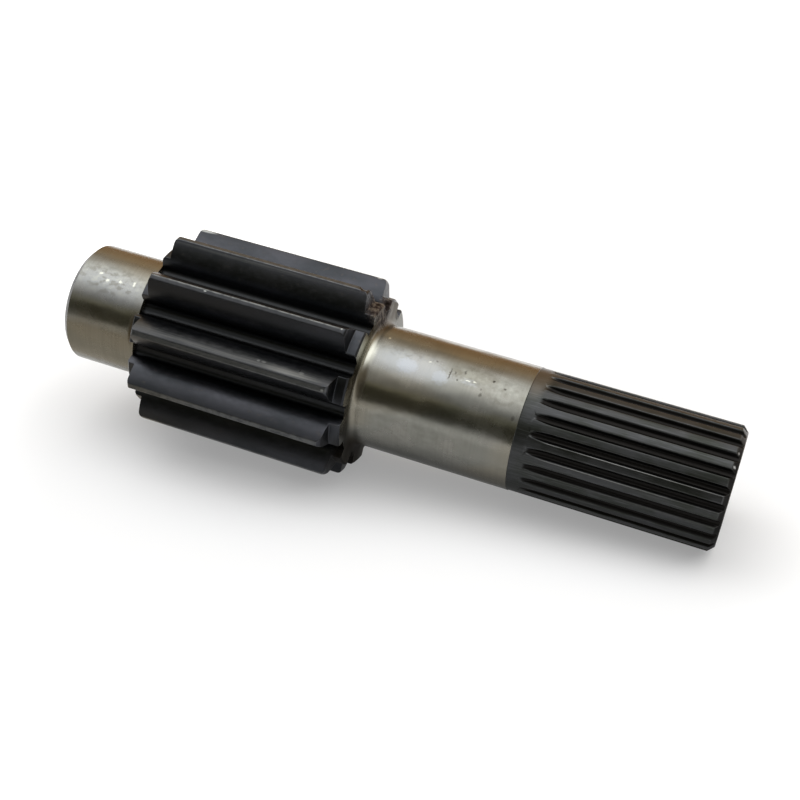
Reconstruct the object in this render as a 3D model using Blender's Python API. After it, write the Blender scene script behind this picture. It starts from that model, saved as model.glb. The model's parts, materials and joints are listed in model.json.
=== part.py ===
"""Pinion shaft: one turned steel bar with a spur pinion and an involute spline cut in it.

From left to right along +X: a plain journal, a low shoulder, the eleven-tooth pinion, a
second shoulder, a long plain journal and a splined end. The tooth spaces run straight
through both shoulders, so each tooth carries on as a low stub at either end.

The shaft is nose-heavy: it lies on the right-hand corners of two neighbouring pinion teeth
and on its splined end. The origin is on the surface that it lies on, under the middle of
its outline. Units are metres.
"""
import math

import bmesh
import bpy
from mathutils import Matrix, Vector

# Overall length and the plain journals
SHAFT_LENGTH = 0.412
LEFT_JOURNAL_DIAMETER = 0.074
LEFT_JOURNAL_LENGTH = 0.0544
MIDDLE_JOURNAL_DIAMETER = 0.075
LEFT_END_CHAMFER = 0.0033

# Pinion blank: shoulders, tooth ends and the fillets at the journals
SHOULDER_DIAMETER = 0.104
LEFT_SHOULDER_WIDTH = 0.0049
RIGHT_SHOULDER_WIDTH = 0.0064
SHOULDER_CHAMFER = 0.001
JOURNAL_FILLET = 0.004
TOOTH_LENGTH = 0.125
RIGHT_TOOTH_END_SLOPE = 0.0017
LEFT_TIP_CORNER_RADIUS = 0.002
RIGHT_TIP_CORNER_RADIUS = 0.0035

# Pinion teeth: a factor is a size in modules
PINION_TEETH = 11
PINION_MODULE = 0.009
PINION_PRESSURE_ANGLE = math.radians(20.0)
PINION_SHIFT_FACTOR = 0.5
PINION_ADDENDUM_FACTOR = 1.0
PINION_DEDENDUM_FACTOR = 1.25
PINION_ROOT_FILLET_FACTOR = 0.38
TIP_SHORTENING = 0.0005

# Involute spline, its factors in modules too
SPLINE_TEETH = 23
SPLINE_MODULE = 0.003
SPLINE_PRESSURE_ANGLE = math.radians(20.0)
SPLINE_SHIFT_FACTOR = 0.8
SPLINE_TIP_CLEARANCE_FACTOR = 0.1
SPLINE_DEPTH_FACTOR = 0.9
SPLINE_ROOT_FILLET_FACTOR = 0.5
SPLINE_SEAT_LENGTH = 0.1221
SPLINE_PLAIN_BAND = 0.0072
SPLINE_HOB_DIAMETER = 0.072
SPLINE_END_CHAMFER = 0.0035
SPLINE_CLOCKING = math.radians(5.03)

# Centre holes in both end faces
CENTRE_MOUTH_DIAMETER = 0.0132
CENTRE_PILOT_DIAMETER = 0.0063
CENTRE_PILOT_DEPTH = 0.0125
CENTRE_CONE_ANGLE = math.radians(60.0)
CENTRE_DRILL_POINT_ANGLE = math.radians(118.0)

# How finely the curves are divided
FACETS_PER_PINION_TOOTH = 8
FILLET_STEPS = 4
TIP_CORNER_STEPS = 2
PINION_FLANK_STEPS = 6
PINION_ROOT_STEPS = 3
SPLINE_FLANK_STEPS = 3
SPLINE_ROOT_STEPS = 3
RUN_OUT_STEPS = 5

# How far a cutter stands clear of the bar
CUTTER_RISE = 0.0006
CUTTER_OVERRUN = 0.003
WELD_DISTANCE = 0.000001

STEEL_COLOUR = (0.115, 0.105, 0.095, 1.0)
STEEL_ROUGHNESS = 0.32

QUARTER_TURN = math.pi / 2
FULL_TURN = math.tau

# Radii that follow from the sizes above
left_journal_radius = LEFT_JOURNAL_DIAMETER / 2
middle_journal_radius = MIDDLE_JOURNAL_DIAMETER / 2
shoulder_radius = SHOULDER_DIAMETER / 2
pinion_pitch_radius = PINION_TEETH * PINION_MODULE / 2
pinion_addendum = (PINION_ADDENDUM_FACTOR + PINION_SHIFT_FACTOR) * PINION_MODULE - TIP_SHORTENING
pinion_dedendum = (PINION_DEDENDUM_FACTOR - PINION_SHIFT_FACTOR) * PINION_MODULE
pinion_tip_radius = pinion_pitch_radius + pinion_addendum
pinion_root_radius = pinion_pitch_radius - pinion_dedendum
spline_pitch_radius = SPLINE_TEETH * SPLINE_MODULE / 2
spline_addendum = (SPLINE_SHIFT_FACTOR + SPLINE_TIP_CLEARANCE_FACTOR) * SPLINE_MODULE
spline_tip_radius = spline_pitch_radius + spline_addendum
spline_root_radius = spline_tip_radius - SPLINE_DEPTH_FACTOR * SPLINE_MODULE
hob_radius = SPLINE_HOB_DIAMETER / 2

# Stations along the shaft, from the left end
left_shoulder_start = LEFT_JOURNAL_LENGTH
tooth_start = left_shoulder_start + LEFT_SHOULDER_WIDTH
tooth_end = tooth_start + TOOTH_LENGTH
right_shoulder_start = tooth_end + RIGHT_TOOTH_END_SLOPE
right_shoulder_end = right_shoulder_start + RIGHT_SHOULDER_WIDTH
spline_seat_start = SHAFT_LENGTH - SPLINE_SEAT_LENGTH
run_out_start = spline_seat_start + SPLINE_PLAIN_BAND


def clear_scene():
    for old in list(bpy.data.objects):
        bpy.data.objects.remove(old, do_unlink=True)


def arc(centre_x, centre_r, radius, start, end, steps):
    """Points (x, r) on an arc, its angles counted from +X towards +R."""
    points = []
    for step in range(steps + 1):
        angle = start + (end - start) * step / steps
        points.append((centre_x + radius * math.cos(angle), centre_r + radius * math.sin(angle)))
    return points


def centre_hole(end_x, inward):
    """Points (x, r) of a centre hole, from its bottom on the axis out to its mouth."""
    mouth = CENTRE_MOUTH_DIAMETER / 2
    pilot = CENTRE_PILOT_DIAMETER / 2
    cone_depth = (mouth - pilot) / math.tan(CENTRE_CONE_ANGLE / 2)
    point_depth = pilot / math.tan(CENTRE_DRILL_POINT_ANGLE / 2)
    depths = [
        (CENTRE_PILOT_DEPTH + point_depth, 0.0),
        (CENTRE_PILOT_DEPTH, pilot),
        (cone_depth, pilot),
        (0.0, mouth),
    ]
    return [(end_x + inward * depth, radius) for depth, radius in depths]


def bar_profile():
    """The turned outline (x, r) of the whole bar, from the left centre hole to the right one."""
    profile = centre_hole(0.0, 1)
    profile.append((0.0, left_journal_radius - LEFT_END_CHAMFER))
    profile.append((LEFT_END_CHAMFER, left_journal_radius))

    # Left journal fillet, shoulder and the square end of the teeth
    profile += arc(
        left_shoulder_start - JOURNAL_FILLET, left_journal_radius + JOURNAL_FILLET, JOURNAL_FILLET,
        -QUARTER_TURN, 0.0, FILLET_STEPS,
    )
    profile.append((left_shoulder_start, shoulder_radius - SHOULDER_CHAMFER))
    profile.append((left_shoulder_start + SHOULDER_CHAMFER, shoulder_radius))
    profile.append((tooth_start, shoulder_radius))
    profile += arc(
        tooth_start + LEFT_TIP_CORNER_RADIUS, pinion_tip_radius - LEFT_TIP_CORNER_RADIUS,
        LEFT_TIP_CORNER_RADIUS, math.pi, QUARTER_TURN, TIP_CORNER_STEPS,
    )

    # Tooth tips, their sloping right end, the right shoulder and its fillet
    profile += arc(
        tooth_end - RIGHT_TIP_CORNER_RADIUS, pinion_tip_radius - RIGHT_TIP_CORNER_RADIUS,
        RIGHT_TIP_CORNER_RADIUS, QUARTER_TURN, 0.0, TIP_CORNER_STEPS,
    )
    profile.append((right_shoulder_start, shoulder_radius))
    profile.append((right_shoulder_end - SHOULDER_CHAMFER, shoulder_radius))
    profile.append((right_shoulder_end, shoulder_radius - SHOULDER_CHAMFER))
    profile += arc(
        right_shoulder_end + JOURNAL_FILLET, middle_journal_radius + JOURNAL_FILLET, JOURNAL_FILLET,
        math.pi, math.pi + QUARTER_TURN, FILLET_STEPS,
    )

    # Step down to the spline seat, and the chamfered end
    profile.append((spline_seat_start, middle_journal_radius))
    profile.append((spline_seat_start, spline_tip_radius))
    profile.append((SHAFT_LENGTH - SPLINE_END_CHAMFER, spline_tip_radius))
    profile.append((SHAFT_LENGTH, spline_tip_radius - SPLINE_END_CHAMFER))
    profile += reversed(centre_hole(SHAFT_LENGTH, -1))
    return profile


def turned_bar():
    """Spins the profile about X, with one flat facet centred on each pinion tooth."""
    facets = FACETS_PER_PINION_TOOTH * PINION_TEETH
    half_pitch = math.pi / PINION_TEETH
    first_angle = half_pitch + FULL_TURN / facets / 2
    turn = Matrix.Rotation(first_angle, 3, 'X')
    bar = bmesh.new()
    points = [bar.verts.new(turn @ Vector((x, 0.0, -r))) for x, r in bar_profile()]
    edges = [bar.edges.new(pair) for pair in zip(points, points[1:])]
    bmesh.ops.spin(
        bar, geom=points + edges, cent=(0.0, 0.0, 0.0), axis=(1.0, 0.0, 0.0),
        angle=FULL_TURN, steps=facets, use_merge=True,
    )
    bmesh.ops.remove_doubles(bar, verts=bar.verts, dist=WELD_DISTANCE)
    bmesh.ops.recalc_face_normals(bar, faces=bar.faces)
    return bar


def involute(angle):
    return math.tan(angle) - angle


def rounded_corner(before, corner, after, radius, steps):
    """An arc that is tangent to the two straight runs meeting at the corner."""
    to_before = (before - corner).normalized()
    to_after = (after - corner).normalized()
    half_angle = to_before.angle(to_after) / 2
    centre = corner + (to_before + to_after).normalized() * radius / math.sin(half_angle)
    tangent_length = radius / math.tan(half_angle)
    first = corner + to_before * tangent_length - centre
    last = corner + to_after * tangent_length - centre
    points = []
    for step in range(steps + 1):
        blended = first.lerp(last, step / steps)
        points.append(centre + blended.normalized() * radius)
    return points


def gap_outline(teeth, module, pressure_angle, shift, root_radius, top_radius, fillet, flank_steps,
                root_steps):
    """One tooth space seen along the shaft, opening downwards: its points (y, z) in order.

    Its roof is two lines that touch the circle of the top radius, so they clear the bar.
    """
    base_radius = teeth * module / 2 * math.cos(pressure_angle)
    half_tooth = (QUARTER_TURN + 2 * shift * math.tan(pressure_angle)) / teeth
    flank_foot = math.pi / teeth - half_tooth - involute(pressure_angle)
    lowest_flank = max(base_radius, root_radius)
    side = []
    for step in range(flank_steps + 1):
        radius = top_radius + (lowest_flank - top_radius) * step / flank_steps
        half_gap = flank_foot + involute(math.acos(base_radius / radius))
        side.append(Vector((radius * math.sin(half_gap), -radius * math.cos(half_gap))))
    if root_radius < base_radius:
        side.append(Vector((root_radius * math.tan(flank_foot), -root_radius)))
    corner = side.pop()
    floor_middle = Vector((0.0, corner.y))
    side += rounded_corner(side[-1], corner, floor_middle, fillet, root_steps)
    other_side = [Vector((-point.x, point.y)) for point in reversed(side)]
    half_mouth = math.atan2(side[0].x, -side[0].y)
    roof = Vector((0.0, -top_radius / math.cos(half_mouth)))
    return side + other_side + [roof]


def pinion_gap_cutters():
    """A straight prism for each tooth space, long enough to run out past both shoulders."""
    outline = gap_outline(
        PINION_TEETH, PINION_MODULE, PINION_PRESSURE_ANGLE, PINION_SHIFT_FACTOR,
        pinion_root_radius, pinion_tip_radius + CUTTER_RISE, PINION_ROOT_FILLET_FACTOR * PINION_MODULE,
        PINION_FLANK_STEPS, PINION_ROOT_STEPS,
    )
    start_x = left_shoulder_start - CUTTER_OVERRUN
    length = right_shoulder_end + CUTTER_OVERRUN - start_x
    cutters = bmesh.new()
    for tooth in range(PINION_TEETH):
        turn = Matrix.Rotation(FULL_TURN * tooth / PINION_TEETH, 3, 'X')
        corners = [cutters.verts.new(turn @ Vector((start_x, y, z))) for y, z in outline]
        end_face = cutters.faces.new(corners)
        grown = bmesh.ops.extrude_face_region(cutters, geom=[end_face], use_keep_orig=True)
        moved = [part for part in grown['geom'] if isinstance(part, bmesh.types.BMVert)]
        bmesh.ops.translate(cutters, verts=moved, vec=(length, 0.0, 0.0))
    bmesh.ops.recalc_face_normals(cutters, faces=cutters.faces)
    return cutters


def spline_gap_cutters():
    """A prism for each spline space, ending in the round run-out that the hob leaves."""
    outline = gap_outline(
        SPLINE_TEETH, SPLINE_MODULE, SPLINE_PRESSURE_ANGLE, SPLINE_SHIFT_FACTOR,
        spline_root_radius, spline_tip_radius + CUTTER_RISE, SPLINE_ROOT_FILLET_FACTOR * SPLINE_MODULE,
        SPLINE_FLANK_STEPS, SPLINE_ROOT_STEPS,
    )
    depth = spline_tip_radius - spline_root_radius
    run_out_length = math.sqrt(hob_radius ** 2 - (hob_radius - depth) ** 2)
    run_out_angle = math.acos((hob_radius - depth - CUTTER_RISE) / hob_radius)
    full_depth_x = run_out_start + run_out_length
    start_x = SHAFT_LENGTH + CUTTER_OVERRUN
    cutters = bmesh.new()
    for tooth in range(SPLINE_TEETH):
        clocking = SPLINE_CLOCKING + FULL_TURN * (tooth + 0.5) / SPLINE_TEETH
        turn = Matrix.Rotation(-clocking, 3, 'X')
        corners = [cutters.verts.new(turn @ Vector((start_x, y, z))) for y, z in outline]
        end_face = cutters.faces.new(corners)
        grown = bmesh.ops.extrude_face_region(cutters, geom=[end_face], use_keep_orig=True)
        moved = [part for part in grown['geom'] if isinstance(part, bmesh.types.BMVert)]
        bmesh.ops.translate(cutters, verts=moved, vec=(full_depth_x - start_x, 0.0, 0.0))
        foot = [part for part in grown['geom'] if isinstance(part, bmesh.types.BMFace)]
        hob_centre = turn @ Vector((full_depth_x, 0.0, -spline_root_radius - hob_radius))
        hob_axis = turn @ Vector((0.0, 1.0, 0.0))
        bmesh.ops.spin(
            cutters, geom=foot, cent=hob_centre, axis=hob_axis,
            angle=-run_out_angle, steps=RUN_OUT_STEPS,
        )
        bmesh.ops.delete(cutters, geom=foot, context='FACES_ONLY')
    bmesh.ops.remove_doubles(cutters, verts=cutters.verts, dist=WELD_DISTANCE)
    bmesh.ops.recalc_face_normals(cutters, faces=cutters.faces)
    return cutters


def add_object(name, shape, parent):
    mesh = bpy.data.meshes.new(name)
    shape.to_mesh(mesh)
    shape.free()
    added = bpy.data.objects.new(name, mesh)
    bpy.context.scene.collection.objects.link(added)
    added.parent = parent
    return added


def cut(body, cutter):
    cutter.hide_render = True
    cutter.display_type = 'WIRE'
    boolean = body.modifiers.new(cutter.name, 'BOOLEAN')
    boolean.operation = 'DIFFERENCE'
    boolean.solver = 'EXACT'
    boolean.object = cutter


def steel():
    material = bpy.data.materials.new('hardened_steel')
    material.use_nodes = True
    shader = material.node_tree.nodes['Principled BSDF']
    shader.inputs['Base Color'].default_value = STEEL_COLOUR
    shader.inputs['Metallic'].default_value = 1.0
    shader.inputs['Roughness'].default_value = STEEL_ROUGHNESS
    return material


def finished_mesh(body):
    return body.evaluated_get(bpy.context.evaluated_depsgraph_get()).data


def centre_of_mass(mesh):
    """Adds up the tetrahedra between the origin and each triangle of the closed surface."""
    mesh.calc_loop_triangles()
    volume = 0.0
    moment = Vector((0.0, 0.0, 0.0))
    for triangle in mesh.loop_triangles:
        first, second, third = (mesh.vertices[index].co for index in triangle.vertices)
        piece = first.dot(second.cross(third)) / 6
        volume += piece
        moment += piece * (first + second + third) / 4
    return moment / volume


def bends_upward(first, second, third):
    return (second - first).cross(third - second) > 0


def resting_tilt(mesh):
    """How far the axis dips towards the splined end when the shaft lies on a flat surface.

    Seen from the side, the shaft touches down at the two corners of its lower outline that
    its centre of mass lies between.
    """
    corners = sorted({(vertex.co.x, vertex.co.z) for vertex in mesh.vertices})
    outline = []
    for corner in map(Vector, corners):
        while len(outline) > 1 and not bends_upward(outline[-2], outline[-1], corner):
            outline.pop()
        outline.append(corner)
    balance_x = centre_of_mass(mesh).x
    feet = next(pair for pair in zip(outline, outline[1:]) if pair[1].x >= balance_x)
    stride = feet[1] - feet[0]
    return math.atan2(stride.y, stride.x)


def lay_down(pivot, body):
    """Tips the shaft into its rest and sets it on the surface, centred on the origin."""
    mesh = finished_mesh(body)
    pivot.rotation_euler.y = resting_tilt(mesh)
    turned = [pivot.rotation_euler.to_matrix() @ vertex.co for vertex in mesh.vertices]
    pivot.location.x = -(min(point.x for point in turned) + max(point.x for point in turned)) / 2
    pivot.location.z = -min(point.z for point in turned)


clear_scene()

# The shaft axis, from the left end: everything is modelled along its X
axis = bpy.data.objects.new('shaft_axis', None)
bpy.context.scene.collection.objects.link(axis)

shaft = add_object('pinion_shaft', turned_bar(), axis)
cut(shaft, add_object('pinion_tooth_spaces', pinion_gap_cutters(), axis))
cut(shaft, add_object('spline_tooth_spaces', spline_gap_cutters(), axis))
shaft.data.materials.append(steel())
shaft.data.shade_smooth()
shaft.data.set_sharp_from_angle(angle=math.radians(25.0))
lay_down(axis, shaft)
bpy.context.view_layer.update()
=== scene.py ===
import json
import math

import bmesh
import bpy
from mathutils import Matrix, Vector


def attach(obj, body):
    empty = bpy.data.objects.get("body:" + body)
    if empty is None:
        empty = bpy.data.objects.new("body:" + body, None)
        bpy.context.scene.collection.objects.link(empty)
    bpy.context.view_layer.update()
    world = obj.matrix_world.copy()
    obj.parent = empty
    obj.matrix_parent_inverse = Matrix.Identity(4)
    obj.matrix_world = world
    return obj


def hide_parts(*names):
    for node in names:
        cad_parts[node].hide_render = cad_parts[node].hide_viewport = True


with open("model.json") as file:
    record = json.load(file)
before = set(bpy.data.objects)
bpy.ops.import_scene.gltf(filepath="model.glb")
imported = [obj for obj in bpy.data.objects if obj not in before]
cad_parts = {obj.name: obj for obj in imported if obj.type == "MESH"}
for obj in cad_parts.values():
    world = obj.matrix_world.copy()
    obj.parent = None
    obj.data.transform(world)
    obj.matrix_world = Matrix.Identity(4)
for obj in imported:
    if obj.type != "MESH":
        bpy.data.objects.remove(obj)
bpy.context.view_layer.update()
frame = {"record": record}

# THE SHAFT'S PLACE
# The shaft is modelled along its own axis, from the plain end, with two pinion teeth
# straight below the axis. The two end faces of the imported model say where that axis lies:
# the shaft rests on two teeth and its splined end, so the axis dips a little.

END_POINT_HEIGHT = 0.02

end_faces = {mount["name"]: mount for mount in frame["record"]["mounts"]}
plain_end = Vector(end_faces["plain_end"]["pos_m"])
spline_end = Vector(end_faces["spline_end"]["pos_m"])
axis_direction = Vector(end_faces["spline_end"]["axis"]).normalized()
shaft_length = (spline_end - plain_end).dot(axis_direction)
dip = math.atan2(-axis_direction.z, axis_direction.x)
tipping = Matrix.Rotation(dip, 4, 'Y')
axis_start = plain_end - tipping @ Vector((0.0, 0.0, END_POINT_HEIGHT))
placement = Matrix.Translation(axis_start) @ tipping


# THE TURNED BAR
# One bar of alloy steel, turned between centres: plain end, pinion blank with a low
# shoulder on either side, long journal, and the seat for the spline. The journals and the
# fillets beside the shoulders are ground after hardening. Sizes are in metres.

PLAIN_END_RADIUS = 0.037
LONG_JOURNAL_RADIUS = 0.0375
END_CHAMFER = 0.0033
SHOULDER_RADIUS = 0.052
SHOULDER_CHAMFER = 0.001
SHOULDER_FILLET = 0.004
LEFT_SHOULDER_START = 0.0544
TEETH_START = 0.0593
TEETH_END = 0.1843
RIGHT_SHOULDER_START = 0.186
RIGHT_SHOULDER_END = 0.1924
TOOTH_FOOT_RADIUS = 0.0007
LEFT_TIP_CORNER = 0.002
RIGHT_TIP_CORNER = 0.0035
SPLINE_SEAT_START = 0.2899
SPLINE_END_CHAMFER = 0.0035
BROKEN_EDGE = 0.0003
CENTRE_MOUTH_RADIUS = 0.0066
CENTRE_PILOT_RADIUS = 0.00315
CENTRE_PILOT_DEPTH = 0.0125
CENTRE_CONE_DEPTH = 0.006
CENTRE_POINT_DEPTH = 0.0019
LONGEST_STEP = 0.006

PINION_TEETH = 11
PINION_TIP_RADIUS = 0.06245
SPLINE_TEETH = 23
SPLINE_TIP_RADIUS = 0.03718


def arc_at_corner(before, corner, after, radius, steps):
    """Points of the arc that rounds the corner between two straight runs."""
    to_before = (before - corner).normalized()
    to_after = (after - corner).normalized()
    half_angle = to_before.angle(to_after) / 2
    centre = corner + (to_before + to_after).normalized() * radius / math.sin(half_angle)
    tangent = radius / math.tan(half_angle)
    first = corner + to_before * tangent - centre
    last = corner + to_after * tangent - centre
    turn = first.angle(last)
    points = []
    for step in range(steps + 1):
        share = step / steps
        weight_first = math.sin((1 - share) * turn) / math.sin(turn)
        weight_last = math.sin(share * turn) / math.sin(turn)
        points.append(centre + first * weight_first + last * weight_last)
    return points


def rounded_run(corners):
    """Rounds each corner (x, r, radius, steps) of an outline; radius 0 leaves it sharp."""
    places = [Vector((x, r)) for x, r, radius, steps in corners]
    run = [places[0]]
    for index in range(1, len(corners) - 1):
        radius, steps = corners[index][2:]
        if radius:
            run += arc_at_corner(places[index - 1], places[index], places[index + 1], radius, steps)
        else:
            run.append(places[index])
    run.append(places[-1])
    return run


bar_outline = rounded_run([
    (CENTRE_PILOT_DEPTH + CENTRE_POINT_DEPTH, 0.0, 0, 0),
    (CENTRE_PILOT_DEPTH, CENTRE_PILOT_RADIUS, 0, 0),
    (CENTRE_CONE_DEPTH, CENTRE_PILOT_RADIUS, 0, 0),
    (0.0, CENTRE_MOUTH_RADIUS, BROKEN_EDGE, 2),
    (0.0, PLAIN_END_RADIUS - END_CHAMFER, BROKEN_EDGE, 2),
    (END_CHAMFER, PLAIN_END_RADIUS, BROKEN_EDGE, 2),
    (LEFT_SHOULDER_START, PLAIN_END_RADIUS, SHOULDER_FILLET, 7),
    (LEFT_SHOULDER_START, SHOULDER_RADIUS - SHOULDER_CHAMFER, BROKEN_EDGE / 2, 2),
    (LEFT_SHOULDER_START + SHOULDER_CHAMFER, SHOULDER_RADIUS, BROKEN_EDGE / 2, 2),
    (TEETH_START, SHOULDER_RADIUS, TOOTH_FOOT_RADIUS, 3),
    (TEETH_START, PINION_TIP_RADIUS, LEFT_TIP_CORNER, 5),
    (TEETH_END, PINION_TIP_RADIUS, RIGHT_TIP_CORNER, 7),
    (RIGHT_SHOULDER_START, SHOULDER_RADIUS, TOOTH_FOOT_RADIUS, 3),
    (RIGHT_SHOULDER_END - SHOULDER_CHAMFER, SHOULDER_RADIUS, BROKEN_EDGE / 2, 2),
    (RIGHT_SHOULDER_END, SHOULDER_RADIUS - SHOULDER_CHAMFER, BROKEN_EDGE / 2, 2),
    (RIGHT_SHOULDER_END, LONG_JOURNAL_RADIUS, SHOULDER_FILLET, 7),
    (SPLINE_SEAT_START, LONG_JOURNAL_RADIUS, 0, 0),
    (SPLINE_SEAT_START + BROKEN_EDGE, SPLINE_TIP_RADIUS, 0, 0),
    (shaft_length - SPLINE_END_CHAMFER, SPLINE_TIP_RADIUS, BROKEN_EDGE, 2),
    (shaft_length, SPLINE_TIP_RADIUS - SPLINE_END_CHAMFER, BROKEN_EDGE, 2),
    (shaft_length, CENTRE_MOUTH_RADIUS, BROKEN_EDGE, 2),
    (shaft_length - CENTRE_CONE_DEPTH, CENTRE_PILOT_RADIUS, 0, 0),
    (shaft_length - CENTRE_PILOT_DEPTH, CENTRE_PILOT_RADIUS, 0, 0),
    (shaft_length - CENTRE_PILOT_DEPTH - CENTRE_POINT_DEPTH, 0.0, 0, 0),
])


# THE PINION TEETH
# Eleven straight involute teeth of module 9, cut into the blank right across both
# shoulders, so that a stub of each tooth stays on the shoulder. The spaces have round
# roots, and every edge is broken by a fraction of a millimetre.

PINION_MODULE = 0.009
PINION_PRESSURE_ANGLE = math.radians(20.0)
PINION_SHIFT_FACTOR = 0.5
PINION_DEDENDUM_FACTOR = 1.25
PINION_ROOT_FILLET = 0.0034
TOOTH_EDGE_ROUND = 0.0004
LAND_STEPS = 5
EDGE_STEPS = 3
FLANK_STEPS = 8
ROOT_STEPS = 5
FLOOR_STEPS = 2


def involute(angle):
    return math.tan(angle) - angle


class ToothSpace:
    """Half of one space between involute teeth: tangential place by height, in metres."""

    def __init__(self, teeth, module, pressure_angle, shift, root_radius, fillet):
        self.half_pitch = math.pi / teeth
        self.base_radius = teeth * module / 2 * math.cos(pressure_angle)
        half_tooth = (math.pi / 2 + 2 * shift * math.tan(pressure_angle)) / teeth
        self.foot_angle = self.half_pitch - half_tooth - involute(pressure_angle)
        self.root_radius = root_radius
        self.fillet = fillet

    def flank_point(self, radius):
        roll = math.acos(min(1.0, self.base_radius / radius))
        angle = self.foot_angle + involute(roll)
        return Vector((radius * math.sin(angle), radius * math.cos(angle)))

    def root_curve(self, steps):
        """From the top of the root fillet down to where the flat floor starts."""
        if self.root_radius < self.base_radius:
            corner = Vector((self.root_radius * math.tan(self.foot_angle), self.root_radius))
            above = self.flank_point(self.base_radius)
        else:
            corner = self.flank_point(self.root_radius)
            above = self.flank_point(self.root_radius + self.fillet)
        return arc_at_corner(above, corner, Vector((0.0, corner.y)), self.fillet, steps)


pinion_pitch_radius = PINION_TEETH * PINION_MODULE / 2
pinion_dedendum = (PINION_DEDENDUM_FACTOR - PINION_SHIFT_FACTOR) * PINION_MODULE
pinion_root_radius = pinion_pitch_radius - pinion_dedendum
pinion_space = ToothSpace(
    PINION_TEETH, PINION_MODULE, PINION_PRESSURE_ANGLE, PINION_SHIFT_FACTOR,
    pinion_root_radius, PINION_ROOT_FILLET,
)


def eased_edge(land_end, corner, flank_start, steps):
    """A smooth curve that cuts the corner between a tooth's land and its flank."""
    points = []
    for step in range(steps + 1):
        share = step / steps
        near_land = land_end * (1 - share) ** 2
        near_corner = corner * 2 * share * (1 - share)
        points.append(near_land + near_corner + flank_start * share ** 2)
    return points


def on_circle(radius, angle):
    return Vector((radius * math.sin(angle), radius * math.cos(angle)))


def pinion_half_section(outer_radius):
    """From a tooth's middle to the middle of the next space, cut off at the outer radius."""
    corner = pinion_space.flank_point(outer_radius)
    corner_angle = math.atan2(corner.x, corner.y)
    land_angle = corner_angle + TOOTH_EDGE_ROUND / outer_radius
    points = []
    for step in range(LAND_STEPS):
        angle = pinion_space.half_pitch + (land_angle - pinion_space.half_pitch) * step / LAND_STEPS
        points.append(on_circle(outer_radius, angle))
    land_end = on_circle(outer_radius, land_angle)
    flank_start = pinion_space.flank_point(outer_radius - TOOTH_EDGE_ROUND)
    points += eased_edge(land_end, corner, flank_start, EDGE_STEPS)
    root = pinion_space.root_curve(ROOT_STEPS)
    lowest = root[0].length
    for step in range(1, FLANK_STEPS):
        radius = outer_radius - TOOTH_EDGE_ROUND
        radius += (lowest - radius) * step / FLANK_STEPS
        points.append(pinion_space.flank_point(max(radius, pinion_space.base_radius * 1.00001)))
    points += root
    for step in range(1, FLOOR_STEPS + 1):
        points.append(Vector((root[-1].x * (1 - step / FLOOR_STEPS), root[-1].y)))
    return points


# THE SPLINE
# Twenty-three involute teeth of module 3, hobbed into the end of the bar. The hob leaves
# each space by rising out of it on its own radius, so the spaces end in pointed run-outs
# before the plain band beside the long journal.

SPLINE_MODULE = 0.003
SPLINE_PRESSURE_ANGLE = math.radians(20.0)
SPLINE_SHIFT_FACTOR = 0.8
SPLINE_DEPTH = 0.0027
SPLINE_ROOT_FILLET = 0.0015
SPLINE_PLAIN_BAND = 0.0072
SPLINE_CLOCKING = math.radians(5.03)
SPLINE_EDGE_ROUND = 0.00028
HOB_RADIUS = 0.036
SPLINE_LAND_STEPS = 3
SPLINE_EDGE_STEPS = 2
SPLINE_SPACE_STEPS = 6
SPLINE_CURVE_STEPS = 24
SPLINE_CURVE_ROOT_STEPS = 8
RUN_OUT_STATIONS = 14

spline_root_radius = SPLINE_TIP_RADIUS - SPLINE_DEPTH
run_out_start = SPLINE_SEAT_START + SPLINE_PLAIN_BAND
run_out_end = run_out_start + math.sqrt(HOB_RADIUS ** 2 - (HOB_RADIUS - SPLINE_DEPTH) ** 2)
spline_space = ToothSpace(
    SPLINE_TEETH, SPLINE_MODULE, SPLINE_PRESSURE_ANGLE, SPLINE_SHIFT_FACTOR,
    spline_root_radius, SPLINE_ROOT_FILLET,
)


def spline_space_curve():
    """The whole side of a spline space, closely spaced, from its floor's middle upwards."""
    root = list(reversed(spline_space.root_curve(SPLINE_CURVE_ROOT_STEPS)))
    curve = [Vector((0.0, root[0].y))] + root
    top = SPLINE_TIP_RADIUS + SPLINE_DEPTH
    for step in range(1, SPLINE_CURVE_STEPS + 1):
        share = step / SPLINE_CURVE_STEPS
        curve.append(spline_space.flank_point(root[-1].length + (top - root[-1].length) * share))
    return curve


space_curve = spline_space_curve()


def part_below(curve, lift, outer_radius):
    """The stretch of the lifted curve that lies inside the outer radius, and its end."""
    lifted = [point + Vector((0.0, lift)) for point in curve]
    inside = [lifted[0]]
    for before, after in zip(lifted, lifted[1:]):
        if after.length >= outer_radius:
            share = (outer_radius - before.length) / (after.length - before.length)
            inside.append(before.lerp(after, max(0.0, share)))
            break
        inside.append(after)
    return inside


def evenly_spaced(curve, steps):
    lengths = [0.0]
    for before, after in zip(curve, curve[1:]):
        lengths.append(lengths[-1] + (after - before).length)
    points = [curve[0].copy()]
    segment = 0
    for step in range(1, steps + 1):
        wanted = lengths[-1] * step / steps
        while segment < len(curve) - 2 and lengths[segment + 1] < wanted:
            segment += 1
        span = lengths[segment + 1] - lengths[segment]
        share = (wanted - lengths[segment]) / span if span else 0.0
        points.append(curve[segment].lerp(curve[segment + 1], share))
    return points


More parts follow.
